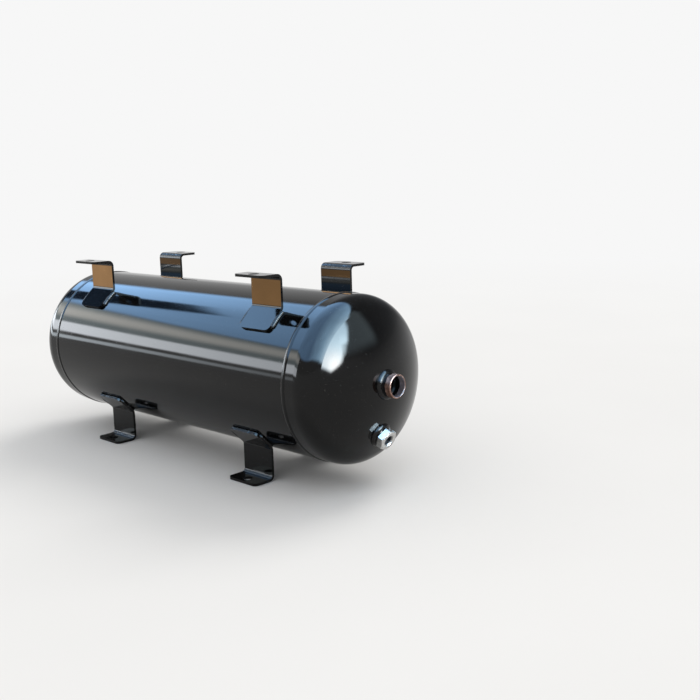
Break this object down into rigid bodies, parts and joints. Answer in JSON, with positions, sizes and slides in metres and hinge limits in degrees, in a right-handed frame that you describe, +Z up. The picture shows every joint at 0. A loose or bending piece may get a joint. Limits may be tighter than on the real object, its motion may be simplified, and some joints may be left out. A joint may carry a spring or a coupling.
{
  "type": "horizontal liquid receiver",
  "caption": "Horizontal liquid receiver: glossy black welded steel tank with domed heads, bent brackets above and below, pipe stubs and a fusible plug.",
  "frame": {"origin": "on the floor, in the middle of the bolt holes of the feet", "axes": "+X along the tank to the end with the inlet stub and the fusible plug, +Y to the rear, +Z up"},
  "size_m": [0.5056, 0.1604, 0.2],
  "materials": {
    "black_enamel": "gloss",
    "copper_plate": "satin",
    "plain_steel": "satin",
    "zinc_plate": "satin",
    "fusible_alloy": "matte"
  },
  "bodies": {
    "root": {"shell": "black_enamel", "head_inlet_end": "black_enamel", "head_outlet_end": "black_enamel", "seam_weld_inlet_end": "black_enamel", "seam_weld_outlet_end": "black_enamel", "bracket_top_front_right": "black_enamel", "bracket_top_front_left": "black_enamel", "bracket_top_rear_right": "black_enamel", "bracket_top_rear_left": "black_enamel", "bracket_foot_front_right": "black_enamel", "bracket_foot_front_left": "black_enamel", "bracket_foot_rear_right": "black_enamel", "bracket_foot_rear_left": "black_enamel", "weld_top_front_right": "black_enamel", "weld_top_front_left": "black_enamel", "weld_top_rear_right": "black_enamel", "weld_top_rear_left": "black_enamel", "weld_foot_front_right": "black_enamel", "weld_foot_front_left": "black_enamel", "weld_foot_rear_right": "black_enamel", "weld_foot_rear_left": "black_enamel", "inlet_stub_weld": "black_enamel", "outlet_stub_weld": "black_enamel", "plug_boss_weld": "black_enamel", "plug_boss": "black_enamel", "inlet_stub": "copper_plate", "outlet_stub": "copper_plate", "dip_tube": "plain_steel", "fusible_plug": "zinc_plate", "fusible_core": "fusible_alloy"}
  },
  "joints": []
}
